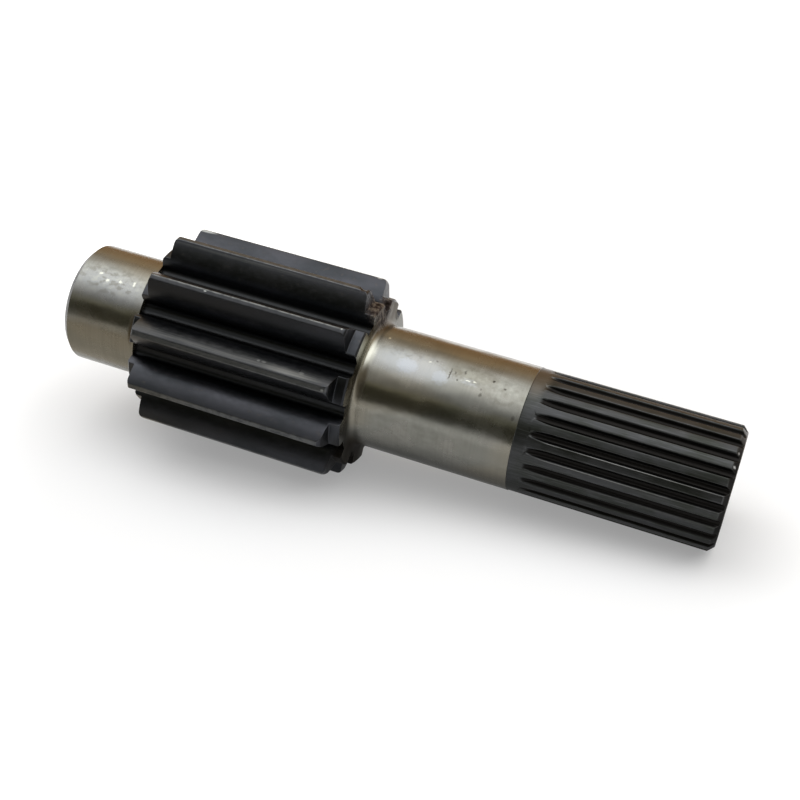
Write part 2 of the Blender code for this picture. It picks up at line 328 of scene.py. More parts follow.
def spline_half_section(outer_radius, lift):
    """From a spline tooth's middle to the middle of the next space, cut off at the radius."""
    inside = part_below(space_curve, lift, outer_radius)
    corner = inside[-1]
    below = part_below(space_curve, lift, outer_radius - SPLINE_EDGE_ROUND)
    if below[0].length >= outer_radius - SPLINE_EDGE_ROUND:
        below = [inside[0], inside[0].lerp(corner, 0.5)]
    space = evenly_spaced(below, SPLINE_SPACE_STEPS)
    corner_angle = math.atan2(corner.x, corner.y)
    land_angle = corner_angle + SPLINE_EDGE_ROUND / outer_radius
    points = []
    for step in range(SPLINE_LAND_STEPS):
        share = step / SPLINE_LAND_STEPS
        angle = spline_space.half_pitch + (land_angle - spline_space.half_pitch) * share
        points.append(on_circle(outer_radius, angle))
    points += eased_edge(on_circle(outer_radius, land_angle), corner, space[-1], SPLINE_EDGE_STEPS)
    points += reversed(space[:-1])
    return points


# THE SKIN OF THE SHAFT
# One closed surface, drawn out along the axis ring by ring. Each ring has the same number
# of corners, so that pinion and spline run into the plain round journals between them.

corners_per_half_tooth = LAND_STEPS + EDGE_STEPS + FLANK_STEPS + ROOT_STEPS + FLOOR_STEPS
corners_per_half_spline = SPLINE_LAND_STEPS + SPLINE_EDGE_STEPS + SPLINE_SPACE_STEPS
ring_size = 2 * corners_per_half_tooth * PINION_TEETH
ring_step = math.tau / ring_size
assert ring_size == 2 * corners_per_half_spline * SPLINE_TEETH

first_angle = math.pi / PINION_TEETH
nearest_spline_tooth = round((first_angle + SPLINE_CLOCKING) * SPLINE_TEETH / math.tau)
spline_tooth_angle = nearest_spline_tooth * math.tau / SPLINE_TEETH - SPLINE_CLOCKING
spline_lead = round((first_angle - spline_tooth_angle) / ring_step)


def turned_by(point, angle):
    """A section's point (sideways, outwards) turned from straight down towards +Y."""
    radius = point.length
    place = math.atan2(point.x, point.y) + angle
    return radius * math.sin(place), -radius * math.cos(place)


def whole_ring(half_section, teeth, first_tooth_angle, lead):
    """Mirrors and repeats a half section: a list of (y, z) for every corner of the ring."""
    half_steps = len(half_section) - 1
    pitch = math.tau / teeth
    other_half = [Vector((-point.x, point.y)) for point in reversed(half_section)]
    one_space = half_section + other_half[1:-1]
    ring = [None] * ring_size
    for tooth in range(teeth):
        space_angle = first_tooth_angle - pitch / 2 - pitch * tooth
        for step, point in enumerate(one_space):
            ring[(lead + 2 * half_steps * tooth + step) % ring_size] = turned_by(point, space_angle)
    return ring


def plain_ring(radius, start, lead):
    angles = [start - ring_step * (index - lead) for index in range(ring_size)]
    return [(radius * math.sin(angle), -radius * math.cos(angle)) for angle in angles]


def ring_at(x, radius):
    """The shaft's outline across the axis where the bar was turned to the given radius."""
    on_pinion = LEFT_SHOULDER_START - 1e-6 <= x <= RIGHT_SHOULDER_END + 1e-6
    if on_pinion and radius > SHOULDER_RADIUS - 1.5 * SHOULDER_CHAMFER:
        return whole_ring(pinion_half_section(radius), PINION_TEETH, first_angle, 0)
    if x > run_out_start + 1e-5 and radius > spline_root_radius + 0.00002:
        rise = max(0.0, run_out_end - x)
        lift = HOB_RADIUS - math.sqrt(HOB_RADIUS ** 2 - rise ** 2)
        section = spline_half_section(radius, min(lift, SPLINE_DEPTH - 0.00001))
        return whole_ring(section, SPLINE_TEETH, spline_tooth_angle, spline_lead)
    if x > SPLINE_SEAT_START - 1e-6:
        return plain_ring(radius, spline_tooth_angle, spline_lead)
    return plain_ring(radius, first_angle, 0)


# Extra rings where something small has to show: the hob's run-outs, the spaces' ends on
# the end chamfer, and the nick at the end of one tooth
run_out_turn = math.acos(1 - SPLINE_DEPTH / HOB_RADIUS)
run_out_rings = [
    run_out_end - HOB_RADIUS * math.sin(run_out_turn * (1 - step / RUN_OUT_STATIONS))
    for step in range(RUN_OUT_STATIONS + 1)
]
NICK_RINGS_START = 0.1778
NICK_RINGS_SPACING = 0.0006
NICK_RINGS = 5
LEAST_RING_GAP = 0.0002
CHAMFER_RINGS = 12
nick_rings = [NICK_RINGS_START + NICK_RINGS_SPACING * step for step in range(NICK_RINGS)]


def ring_stations():
    """Where the rings stand: every point of the bar's outline and shorter steps between."""
    stations = [tuple(bar_outline[0])]
    for before, after in zip(bar_outline, bar_outline[1:]):
        length = (after - before).length
        count = max(1, math.ceil(length / LONGEST_STEP))
        shares = {step / count for step in range(1, count + 1)}
        if abs(before.y - after.y) < 1e-6:
            for extra in run_out_rings + nick_rings:
                if before.x + LEAST_RING_GAP < extra < after.x - LEAST_RING_GAP:
                    shares.add((extra - before.x) / length)
        near_spline_end = before.x > shaft_length - SPLINE_END_CHAMFER - LEAST_RING_GAP / 2
        falling = after.y < before.y and before.y > CENTRE_MOUTH_RADIUS + 2 * SPLINE_DEPTH
        if near_spline_end and falling and length > 2 * BROKEN_EDGE:
            shares |= {step / CHAMFER_RINGS for step in range(1, CHAMFER_RINGS)}
        for share in sorted(shares):
            stations.append(tuple(before.lerp(after, share)))
    return stations


WELD_DISTANCE = 0.000002


def draw_out_skin():
    """Extrudes one ring along the axis and moves each new ring's corners to their places."""
    skin = bmesh.new()
    stations = ring_stations()
    bmesh.ops.create_circle(skin, cap_ends=False, segments=ring_size, radius=PLAIN_END_RADIUS)
    corners = list(skin.verts)
    edges = list(skin.edges)
    for corner, (y, z) in zip(corners, ring_at(*stations[0])):
        corner.co = Vector((stations[0][0], y, z))
    for x, radius in stations[1:]:
        place_of = {corner: index for index, corner in enumerate(corners)}
        grown = bmesh.ops.extrude_edge_only(skin, edges=edges)['geom']
        new_ring = ring_at(x, radius)
        corners = [None] * ring_size
        for corner in (part for part in grown if isinstance(part, bmesh.types.BMVert)):
            behind = next(edge.other_vert(corner) for edge in corner.link_edges
                          if edge.other_vert(corner) in place_of)
            corners[place_of[behind]] = corner
            corner.co = Vector((x, *new_ring[place_of[behind]]))
        edges = [part for part in grown if isinstance(part, bmesh.types.BMEdge)
                 and part.verts[0] not in place_of and part.verts[1] not in place_of]
    bmesh.ops.remove_doubles(skin, verts=skin.verts, dist=WELD_DISTANCE)
    bmesh.ops.dissolve_degenerate(skin, edges=skin.edges, dist=WELD_DISTANCE / 2)
    bmesh.ops.recalc_face_normals(skin, faces=skin.faces)
    return skin


# Outward edges lose their dark coat first, so each corner keeps how far it stands proud
SHARPEST_WEAR = math.radians(24.0)
LEAST_WEAR = math.radians(8.0)


def note_worn_edges(skin):
    worn = skin.verts.layers.float.new('worn_edge')
    for edge in skin.edges:
        proud = edge.calc_face_angle_signed(0.0)
        if proud > LEAST_WEAR:
            for corner in edge.verts:
                corner[worn] = max(corner[worn], min(1.0, proud / SHARPEST_WEAR))


# A blow has left a notch at the end of the tooth on top, about three millimetres across
NICK_ALONG = 0.1812
NICK_RISE = math.radians(90.6)
NICK_REACH = 0.0028
NICK_DEPTH = 0.0016


def dent_tooth(skin):
    sideways = -PINION_TIP_RADIUS * math.cos(NICK_RISE)
    centre = Vector((NICK_ALONG, sideways, PINION_TIP_RADIUS * math.sin(NICK_RISE)))
    for corner in skin.verts:
        nearness = 1.0 - (corner.co - centre).length / NICK_REACH
        if nearness > 0.0:
            inwards = Vector((0.0, -corner.co.y, -corner.co.z)).normalized()
            corner.co += inwards * NICK_DEPTH * min(1.0, 2.0 * nearness)


GROUND, BLACKENED, SPLINED, TURNED = range(4)


def finish_of(face):
    """Which of the four finishes a face has, from its place along and around the axis."""
    middle = face.calc_center_median()
    height = math.hypot(middle.y, middle.z)
    if middle.x < END_CHAMFER - 0.0001:
        return TURNED if height < PLAIN_END_RADIUS - END_CHAMFER - 0.0001 else BLACKENED
    if middle.x > shaft_length - SPLINE_END_CHAMFER * 0.9 and height < spline_root_radius - 0.0005:
        return TURNED
    if middle.x > SPLINE_SEAT_START + BROKEN_EDGE / 4:
        return SPLINED
    beside_teeth = min(middle.x - LEFT_SHOULDER_START, RIGHT_SHOULDER_END - middle.x)
    if beside_teeth > 0.00001:
        return BLACKENED
    return GROUND


SHARP_ANGLE = math.radians(38.0)

skin = draw_out_skin()
dent_tooth(skin)
note_worn_edges(skin)
for face in skin.faces:
    face.material_index = finish_of(face)
skin.transform(placement)
shaft_mesh = bpy.data.meshes.new('pinion_shaft_skin')
skin.to_mesh(shaft_mesh)
skin.free()
shaft = bpy.data.objects.new('pinion_shaft_skin', shaft_mesh)
bpy.context.scene.collection.objects.link(shaft)
shaft_mesh.shade_smooth()
shaft_mesh.set_sharp_from_angle(angle=SHARP_ANGLE)
weighting = shaft.modifiers.new('even_shading', 'WEIGHTED_NORMAL')
weighting.keep_sharp = True
weighting.mode = 'FACE_AREA'
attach(shaft, "root")
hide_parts("pinion_shaft")


# THE GROUND JOURNALS
# Alloy steel ground on centres and left with a thin film of old oil. It is a soft grey
# mirror with fine rings around it, faint stains, and the scratches and pits of handling.

FRONT_RISE = math.radians(35.25)


def colour(hex_code):
    """An sRGB hex colour as linear red, green, blue and alpha."""
    channels = [int(hex_code[start:start + 2], 16) / 255 for start in (1, 3, 5)]
    linear = [c / 12.92 if c <= 0.04045 else ((c + 0.055) / 1.055) ** 2.4 for c in channels]
    return (*linear, 1.0)


def add_node(tree, kind, inputs=None, **settings):
    """Adds one node; an input is a number, a hex colour or another node's output."""
    node = tree.nodes.new('ShaderNode' + kind)
    for name, value in settings.items():
        setattr(node, name, value)
    for name, value in (inputs or {}).items():
        if isinstance(value, bpy.types.NodeSocket):
            tree.links.new(value, node.inputs[name])
        else:
            node.inputs[name].default_value = colour(value) if isinstance(value, str) else value
    return node


def start_finish(name, metal_hex, roughness):
    """A metal's material, its shader, and coordinates in millimetres along its own axis."""
    material = bpy.data.materials.new(name)
    material.use_nodes = True
    tree = material.node_tree
    shader = tree.nodes['Principled BSDF']
    shader.inputs['Base Color'].default_value = colour(metal_hex)
    shader.inputs['Metallic'].default_value = 1.0
    shader.inputs['Roughness'].default_value = roughness
    object_place = add_node(tree, 'TexCoord')
    back = placement.inverted()
    place = add_node(tree, 'Mapping', {
        'Vector': object_place.outputs['Object'],
        'Location': back.to_translation() * 1000.0,
        'Rotation': back.to_euler(),
        'Scale': (1000.0, 1000.0, 1000.0),
    })
    return material, tree, shader, place.outputs['Vector']


def grain(tree, place, stretch, detail=3.0):
    """Clouds from 0 to 1; the stretch says how many fit in a millimetre each way."""
    scaled = add_node(tree, 'VectorMath', {0: place, 1: stretch}, operation='MULTIPLY')
    noise = add_node(tree, 'TexNoise', {
        'Vector': scaled.outputs[0], 'Scale': 1.0, 'Detail': detail, 'Roughness': 0.55,
    })
    return noise.outputs['Fac']


def how_much(tree, *parts):
    """The product of several shares: numbers, other nodes' outputs, or fades.

    A fade is (pattern, low, high), for a share that grows from 0 to 1 where the pattern goes
    from low to high, or (pattern, low, high, share_at_low, share_at_high)."""
    product = None
    for part in parts:
        if isinstance(part, tuple):
            pattern, low, high, at_low, at_high = part if len(part) == 5 else (*part, 0.0, 1.0)
            part = add_node(tree, 'MapRange', {
                'Value': pattern, 'From Min': low, 'From Max': high,
                'To Min': at_low, 'To Max': at_high,
            }, interpolation_type='SMOOTHSTEP').outputs['Result']
        if product is None:
            product = part
        else:
            product = add_node(tree, 'Math', {0: product, 1: part}, operation='MULTIPLY').outputs[0]
    return product


def the_most(tree, *shares):
    """The largest of several shares, so that what overlaps doesn't add up."""
    most = shares[0]
    for share in shares[1:]:
        most = add_node(tree, 'Math', {0: most, 1: share}, operation='MAXIMUM').outputs[0]
    return most


def lay_over(tree, under, over, *parts):
    """Lays one colour over another, as thickly as the product of the parts says."""
    # A Mix node's colours share their names with its numbers, so they go by their places
    inputs = {0: how_much(tree, *parts), 6: under, 7: over}
    return add_node(tree, 'Mix', inputs, data_type='RGBA').outputs[2]


def marks(tree, place, spots, softness=0.5):
    """How far a point lies inside any of several oval marks, from 0 outside to a strength.

    Each spot gives along, rise, radius, length, width and strength: where it is along the
    axis, how many degrees above the camera's side, how far off the axis, and its size. All
    lengths are in millimetres."""
    cover = 0.0
    for along, rise, radius, length, width, strength in spots:
        turn = FRONT_RISE + math.radians(rise)
        centre = (along, -radius * math.cos(turn), radius * math.sin(turn))
        offset = add_node(tree, 'VectorMath', {0: place, 1: centre}, operation='SUBTRACT')
        sized = add_node(tree, 'VectorMath', {
            0: offset.outputs[0], 1: (2.0 / length, 2.0 / width, 2.0 / width),
        }, operation='MULTIPLY')
        reach = add_node(tree, 'VectorMath', {0: sized.outputs[0]}, operation='LENGTH')
        inside = (reach.outputs['Value'], 1.0 + softness, 1.0 - softness)
        cover = the_most(tree, cover, how_much(tree, inside, strength))
    return cover


def ragged(tree, place, reach):
    """The same coordinates, pushed about by up to a few millimetres, for uneven outlines."""
    wander = add_node(tree, 'TexNoise', {'Vector': place, 'Scale': 0.9, 'Detail': 2.0})
    centred = add_node(tree, 'VectorMath', {
        0: wander.outputs['Color'], 1: (0.5, 0.5, 0.5),
    }, operation='SUBTRACT')
    pushed = add_node(tree, 'VectorMath', {
        0: centred.outputs[0], 1: (reach,) * 3, 2: place,
    }, operation='MULTIPLY_ADD')
    return pushed.outputs[0]


# A torn, crusted spot covers the end of the right shoulder under the tooth on top. Its
# lumps are about 3 mm across
CRUST_SPOT = (190.5, 64.0, 53.0, 12.0, 34.0, 1.0)


def crust_over(tree, place, metal):
    """Lays the brown crust with its pale lumps and dark pits over a metal's colour."""
    torn = marks(tree, ragged(tree, place, 5.0), [CRUST_SPOT], softness=0.3)
    lumps = grain(tree, place, (0.3, 0.3, 0.3))
    crust = lay_over(tree, '#312927', '#6A6259', (lumps, 0.44, 0.64))
    crust = lay_over(tree, crust, '#1C1712', (lumps, 0.42, 0.35))
    bumps = add_node(tree, 'Bump', {
        'Strength': 0.8, 'Distance': 0.0012, 'Height': how_much(tree, torn, lumps),
    })
    return lay_over(tree, metal, crust, torn), torn, bumps.outputs['Normal']


# Grinding lines are 0.05 mm apart, which is too fine to show, so they are drawn 0.9 mm
# apart. Stains are 15 to 20 mm long, patches of wear 35 to 70 mm, blotches 4 to 5 mm.
material, tree, shader, place = start_finish('ground_journal_steel', '#73736C', 0.26)
ring_lines = grain(tree, place, (1.1, 0.02, 0.02), detail=2.0)
stains = grain(tree, place, (0.05, 0.07, 0.07), detail=4.0)
patches = grain(tree, place, (0.014, 0.03, 0.03), detail=1.0)
blotches = grain(tree, place, (0.18, 0.24, 0.24))
along = add_node(tree, 'SeparateXYZ', {'Vector': place}).outputs['X']
torn_outline = ragged(tree, place, 5.0)
frayed_outline = ragged(tree, place, 1.6)
metal = lay_over(tree, '#70706A', '#797872', (stains, 0.35, 0.7))
metal = lay_over(tree, metal, '#7A766B', (patches, 0.45, 0.62))
metal = lay_over(tree, metal, '#5E5D57', (ring_lines, 0.3, 0.75, 0.0, 0.25))

# Painted highlights on the middle and left journals, blotched where it was held, and scuffed dull
# beside it
painted_highlight_patches = marks(tree, torn_outline, [
    (222.0, 27.0, 37.5, 48.0, 17.0, 0.35), (218.5, 25.0, 37.5, 15.0, 11.0, 0.62),
    (238.5, 23.0, 37.5, 11.0, 9.0, 0.5), (256.0, 25.5, 37.5, 11.0, 4.0, 0.3),
    (24.0, 14.0, 37.5, 60.0, 24.0, 0.3),
])
metal = lay_over(tree, metal, '#8A8F96', painted_highlight_patches)
handled = marks(tree, place, [
    (25.0, 24.0, 37.3, 50.0, 20.0, 1.0), (257.0, 33.0, 37.3, 30.0, 13.0, 1.0),
    (278.0, 26.0, 37.3, 30.0, 22.0, 0.6), (215.0, 38.0, 37.3, 40.0, 9.0, 0.6),
    (225.0, -30.0, 37.3, 70.0, 24.0, 0.35),
])
metal = lay_over(tree, metal, '#888982', handled, (blotches, 0.5, 0.66, 0.0, 0.5))
metal = lay_over(tree, metal, '#56544B', handled, (blotches, 0.5, 0.36, 0.0, 0.55))
scuffed = marks(tree, torn_outline, [(254.0, 35.0, 37.5, 32.0, 11.0, 0.45)])
metal = lay_over(tree, metal, '#5D5A4F', scuffed)

# Small pits and cuts, and small painted glints on dents
pits = marks(tree, frayed_outline, [
    (269.3, 33.0, 37.5, 1.7, 1.5, 1.0), (277.0, 28.5, 37.5, 1.3, 1.4, 0.9),
    (264.5, 17.0, 37.5, 1.5, 2.4, 0.6), (286.5, 5.0, 37.5, 1.6, 2.6, 0.5),
    (243.9, 28.5, 37.5, 0.9, 6.5, 0.8), (252.0, 34.0, 37.5, 1.2, 2.8, 0.7),
    (249.0, 24.5, 37.5, 1.2, 1.6, 0.6), (246.6, 31.0, 37.5, 1.0, 2.2, 0.6),
    (234.0, 37.0, 37.5, 1.2, 1.4, 0.6), (264.0, 22.0, 37.5, 1.0, 1.2, 0.4),
])
metal = lay_over(tree, metal, '#33302B', pits)
painted_dent_glints = marks(tree, frayed_outline, [
    (16.5, 28.0, 37.3, 2.6, 1.8, 0.7), (22.5, 22.5, 37.3, 2.2, 2.2, 0.7),
    (31.0, 24.5, 37.3, 2.4, 1.8, 0.7), (40.0, 26.0, 37.3, 1.6, 3.4, 0.7),
    (201.4, 49.0, 37.3, 1.6, 1.5, 1.0), (255.0, 26.5, 37.3, 2.6, 1.0, 0.6),
    (259.0, 27.0, 37.3, 2.0, 1.0, 0.6), (230.0, 34.5, 37.3, 2.0, 1.2, 0.5),
])
metal = lay_over(tree, metal, '#B4B5AA', painted_dent_glints)

# The right shoulder's face is duller than the journal, with a painted highlight at its foot on
# the camera's side, filmed with brown oil near the top and painted shade, near black, at the bottom
on_face = how_much(tree, (along, 193.2, 192.5), (along, 189.0, 190.0))
metal = lay_over(tree, metal, '#504E44', on_face, (stains, 0.3, 0.6, 0.1, 0.35))
painted_highlight_foot = marks(tree, place, [(194.0, 27.0, 42.0, 8.0, 22.0, 0.75)])
metal = lay_over(tree, metal, '#ABABA0', painted_highlight_foot)
# The brown mark where the left journal meets the teeth is painted shade with grease
brown_film_and_painted_shade = the_most(tree, marks(tree, place, [
    (194.5, 74.0, 40.0, 7.0, 36.0, 1.0), (192.4, 82.0, 47.0, 8.0, 34.0, 1.0),
    (195.8, -2.0, 38.2, 5.0, 20.0, 1.0),
]), marks(tree, frayed_outline, [(47.3, -15.0, 37.2, 3.6, 18.0, 1.0)]))
metal = lay_over(tree, metal, '#463C2B', brown_film_and_painted_shade, (stains, 0.3, 0.6, 0.55, 0.85))
# Painted shade: a near-black brown over the bottom of the face and fillet
painted_shade_below_face = marks(tree, place, [(192.4, -88.0, 46.0, 18.0, 50.0, 1.0)])
metal = lay_over(tree, metal, '#241F17', painted_shade_below_face, 0.92)
metal, torn, crusted = crust_over(tree, place, metal)
tree.links.new(metal, shader.inputs['Base Color'])

# Dirt and the painted shade are dull, and the ground steel itself is a little duller where it is
# stained
dull = the_most(tree, torn, painted_shade_below_face, how_much(tree, brown_film_and_painted_shade, 0.4))
roughness = add_node(tree, 'Math', {
    0: dull, 1: 0.4, 2: how_much(tree, (stains, 0.3, 0.75, 0.23, 0.30)),
}, operation='MULTIPLY_ADD')
tree.links.new(roughness.outputs[0], shader.inputs['Roughness'])
waves = grain(tree, place, (0.05, 0.09, 0.09), detail=1.0)
wavy = add_node(tree, 'Bump', {
    'Strength': 1.0, 'Distance': 0.0003, 'Height': waves, 'Normal': crusted,
})
relief = add_node(tree, 'Bump', {
    'Strength': 0.25, 'Distance': 0.00003, 'Height': ring_lines, 'Normal': wavy.outputs['Normal'],
})
tree.links.new(relief.outputs['Normal'], shader.inputs['Normal'])
shaft_mesh.materials.append(material)


# THE BLACKENED PINION
# The teeth were hardened and oiled, which leaves the steel nearly black with a low satin
# gloss. The coat is thin on outward edges, where handling has rubbed it to grey.


def off_axis_distance(tree, place):
    """How far a point lies off the shaft's axis, in millimetres."""
    across = add_node(tree, 'VectorMath', {0: place, 1: (0.0, 1.0, 1.0)}, operation='MULTIPLY')
    distance = add_node(tree, 'VectorMath', {0: across.outputs[0]}, operation='LENGTH')
    return distance.outputs['Value']


# The hob's feed lines are 0.3 mm apart, too fine to show, so they are drawn 1.1 mm apart
# and 33 mm long. Spots in the coat are 3 to 4 mm across, and its clouds 17 to 33 mm.
material, tree, shader, place = start_finish('blackened_pinion_steel', '#36373A', 0.34)
off_axis = off_axis_distance(tree, place)
cutting_lines = grain(tree, place, (0.03, 0.9, 0.9), detail=2.0)
scale_spots = grain(tree, place, (0.25, 0.35, 0.35), detail=4.0)
clouds = grain(tree, place, (0.03, 0.06, 0.06))
worn = add_node(tree, 'Attribute', attribute_name='worn_edge').outputs['Fac']
metal = lay_over(tree, '#313336', '#3C3D41', (clouds, 0.35, 0.65))
metal = lay_over(tree, metal, '#474442', (scale_spots, 0.58, 0.75, 0.0, 0.5))

# Black oil and painted shade in the roots, black oil on the tooth facing the camera, painted shade
# below
metal = lay_over(tree, metal, '#252627', (off_axis, 47.5, 44.5))
still_coated = the_most(
    tree, marks(tree, place, [(122.0, 19.0, 60.0, 200.0, 13.0, 1.0)], softness=0.3),
    marks(tree, place, [(190.0, -10.0, 51.0, 8.0, 24.0, 1.0)]),
)
metal = lay_over(tree, metal, '#242527', still_coated, 0.75)
painted_shade_below_pinion = marks(tree, place, [(122.0, -60.0, 62.0, 260.0, 38.0, 1.0)])
metal = lay_over(tree, metal, '#1D1E1F', painted_shade_below_pinion, 0.6)

# Lands and edges are rubbed, and painted highlight strips lie along lands and flanks that face the
# camera
tip_land = how_much(tree, (off_axis, 62.0, 62.3))
edge_wear = how_much(tree, (worn, 0.55, 1.0, 0.0, 0.3), (off_axis, 51.8, 56.0, 0.25, 1.0))
rubbed_and_highlighted = how_much(
    tree, the_most(tree, how_much(tree, tip_land, 0.45), edge_wear), (off_axis, 40.0, 44.0),
    (still_coated, 0.0, 1.0, 1.0, 0.15), (scale_spots, 0.3, 0.6, 0.35, 1.0),
)
painted_highlight_strips = marks(tree, place, [
    (118.0, -6.0, 59.0, 150.0, 10.0, 0.4), (160.0, -6.5, 60.5, 34.0, 6.0, 0.9),
    (88.0, -6.0, 61.0, 26.0, 4.0, 0.5), (120.0, 51.3, 61.7, 150.0, 2.2, 0.8),
    (122.0, -10.9, 62.4, 170.0, 3.0, 0.55),
], softness=0.8)
rubbed_and_highlighted = the_most(tree, rubbed_and_highlighted, how_much(tree, painted_highlight_strips, (cutting_lines, 0.35, 0.6, 0.3, 1.0)))
# Grey where rubbed, and lighter along the painted highlight strips
metal = lay_over(tree, metal, '#6C6D6B', rubbed_and_highlighted)

# Bare-metal grey with painted glints at a few nicks and the top tooth's notch, and a painted
# highlight along one tooth's edge
painted_edge_highlight = marks(tree, place, [(120.0, 23.2, 62.4, 180.0, 1.1, 1.0)])
painted_glints = marks(tree, place, [
    (95.8, 22.2, 62.4, 1.6, 0.8, 1.0), (181.6, 23.0, 62.0, 1.3, 1.3, 1.0),
    (181.7, -11.2, 62.0, 1.8, 1.4, 1.0), (62.0, 85.4, 62.0, 14.0, 2.4, 1.0),
    (179.5, 86.0, 62.0, 3.4, 1.2, 1.0),
])
glints_and_edge_highlight = the_most(tree, how_much(tree, painted_edge_highlight, (scale_spots, 0.35, 0.6, 0.15, 0.4)), painted_glints)
metal = lay_over(tree, metal, '#A9ABA8', glints_and_edge_highlight, 0.6)
# Faint painted glints on the flank of the tooth below
painted_faint_glints = marks(tree, place, [
    (139.5, -6.0, 58.3, 1.8, 1.6, 0.3), (142.8, -5.8, 58.3, 2.6, 1.5, 0.3),
    (166.5, -6.2, 58.3, 3.0, 2.0, 0.22),
])
metal = lay_over(tree, metal, '#A9ABA8', painted_faint_glints)

# A painted shadow line under the brightest flank, one dark nick, and painted shade on the shoulder
# below
painted_edge_shadow_and_nick = the_most(
    tree, marks(tree, place, [(122.0, -9.2, 62.3, 200.0, 1.1, 1.0)], softness=0.4),
    marks(tree, place, [(164.8, -5.0, 57.0, 0.8, 2.0, 1.0)]),
)
metal = lay_over(tree, metal, '#1C1D1E', painted_edge_shadow_and_nick, 0.8)
painted_shade_below_shoulder = marks(tree, place, [(191.0, -80.0, 50.0, 12.0, 50.0, 1.0)])
metal = lay_over(tree, metal, '#17140F', painted_shade_below_shoulder, 0.9)
metal, torn, crusted = crust_over(tree, place, metal)
tree.links.new(metal, shader.inputs['Base Color'])
satin = the_most(
    tree, how_much(tree, (scale_spots, 0.3, 0.7, 0.30, 0.40)), how_much(tree, tip_land, 0.46),
)
roughness = add_node(tree, 'Math', {
    0: the_most(tree, torn, painted_shade_below_shoulder), 1: 0.35, 2: satin,
}, operation='MULTIPLY_ADD')
tree.links.new(roughness.outputs[0], shader.inputs['Roughness'])
relief = add_node(tree, 'Bump', {
    'Strength': 0.3, 'Distance': 0.00004, 'Height': cutting_lines, 'Normal': crusted,
})
tree.links.new(relief.outputs['Normal'], shader.inputs['Normal'])
shaft_mesh.materials.append(material)


# THE SPLINE'S FINISH
# The splined end is hardened too, but rubbed to a dull grey on its teeth. Old oil has
# stayed in the spaces, which are nearly black.

# The lines that the mating hub has rubbed are 0.1 mm apart, too fine to show, so they are
# drawn 0.8 mm apart and 17 mm long. The clouds in the finish are 11 to 20 mm across.
material, tree, shader, place = start_finish('dull_spline_steel', '#373836', 0.4)
off_axis = off_axis_distance(tree, place)
along = add_node(tree, 'SeparateXYZ', {'Vector': place}).outputs['X']
rub_lines = grain(tree, place, (0.06, 1.3, 1.3))
clouds = grain(tree, place, (0.05, 0.09, 0.09))
worn = add_node(tree, 'Attribute', attribute_name='worn_edge').outputs['Fac']
metal = lay_over(tree, '#30322F', '#3C3D3E', (clouds, 0.35, 0.65))
metal = lay_over(tree, metal, '#535456', (rub_lines, 0.45, 0.75, 0.0, 0.45))
metal = lay_over(tree, metal, '#1A1918', (off_axis, 36.95, 36.2))

# Worn edges are lighter, with painted highlights on two teeth's edges; the plain band is paler on
# top, and the chamfer has painted glints
painted_groove_highlights = marks(tree, place, [
    (354.0, -9.0, 37.0, 126.0, 3.0, 1.0), (340.0, -24.0, 37.0, 96.0, 2.6, 0.7),
])
metal = lay_over(
    tree, metal, '#7A7A78', (worn, 0.5, 1.0), (clouds, 0.3, 0.6, 0.35, 1.0),
    (along, 299.0, 312.0, 0.15, 1.0), (painted_groove_highlights, 0.0, 1.0, 0.12, 0.85),
)
pale_band = marks(tree, place, [(293.0, 56.0, 37.3, 12.0, 28.0, 0.5)])
metal = lay_over(tree, metal, '#6E6860', pale_band)
painted_chamfer_glints = marks(tree, ragged(tree, place, 1.5), [
    (406.5, 57.0, 36.0, 2.0, 1.6, 0.9), (409.8, 19.6, 36.0, 1.8, 1.8, 0.9),
    (410.0, 34.0, 36.0, 1.4, 1.6, 0.7),
])
metal = lay_over(tree, metal, '#B9BCC0', painted_chamfer_glints)
tree.links.new(metal, shader.inputs['Base Color'])
tree.links.new(how_much(tree, (clouds, 0.3, 0.7, 0.36, 0.44)), shader.inputs['Roughness'])
relief = add_node(tree, 'Bump', {'Strength': 0.3, 'Distance': 0.00005, 'Height': rub_lines})
tree.links.new(relief.outputs['Normal'], shader.inputs['Normal'])
shaft_mesh.materials.append(material)


# THE TURNED END FACES
# Both end faces and their centre holes are as the lathe left them: grey steel with fine
# rings around the middle, and dull inside the holes.

# The lathe's feed leaves rings 0.2 mm apart, too fine to show, so they are drawn 0.7 mm
# apart. The brown tint comes in clouds 12 mm across.
TOOL_RINGS_PER_MM = 1.4

material, tree, shader, place = start_finish('turned_end_steel', '#4A4946', 0.36)
ring_count = how_much(tree, off_axis_distance(tree, place), TOOL_RINGS_PER_MM)
tool_rings = add_node(tree, 'TexNoise', {'W': ring_count, 'Detail': 2.0},
                      noise_dimensions='1D').outputs['Fac']
clouds = grain(tree, place, (0.08, 0.08, 0.08))
metal = lay_over(tree, '#403F3D', '#55544F', (tool_rings, 0.3, 0.7))
metal = lay_over(tree, metal, '#433C34', (clouds, 0.5, 0.7, 0.0, 0.5))
tree.links.new(metal, shader.inputs['Base Color'])
relief = add_node(tree, 'Bump', {'Strength': 0.5, 'Distance': 0.00006, 'Height': tool_rings})
tree.links.new(relief.outputs['Normal'], shader.inputs['Normal'])
shaft_mesh.materials.append(material)


# THE STUDIO
# A pale floor that reads white, a wide soft lamp overhead that fades to its edges, and
# plain cards that only the polished metal mirrors. None of it belongs to the shaft.

FLOOR_SIZE = 60.0
GLOW_STARTS = 0.2
GLOW_ENDS = 0.5
NEAR_GLOW = 0.3
FAR_GLOW = 1.1
AMBIENT_LEVEL = 0.12


def seen_directly(tree):
    """1 for rays from the camera, from a reflection or through glass, and 0 for lighting."""
    path = add_node(tree, 'LightPath').outputs
    return the_most(tree, path['Is Camera Ray'], path['Is Glossy Ray'], path['Is Transmission Ray'])


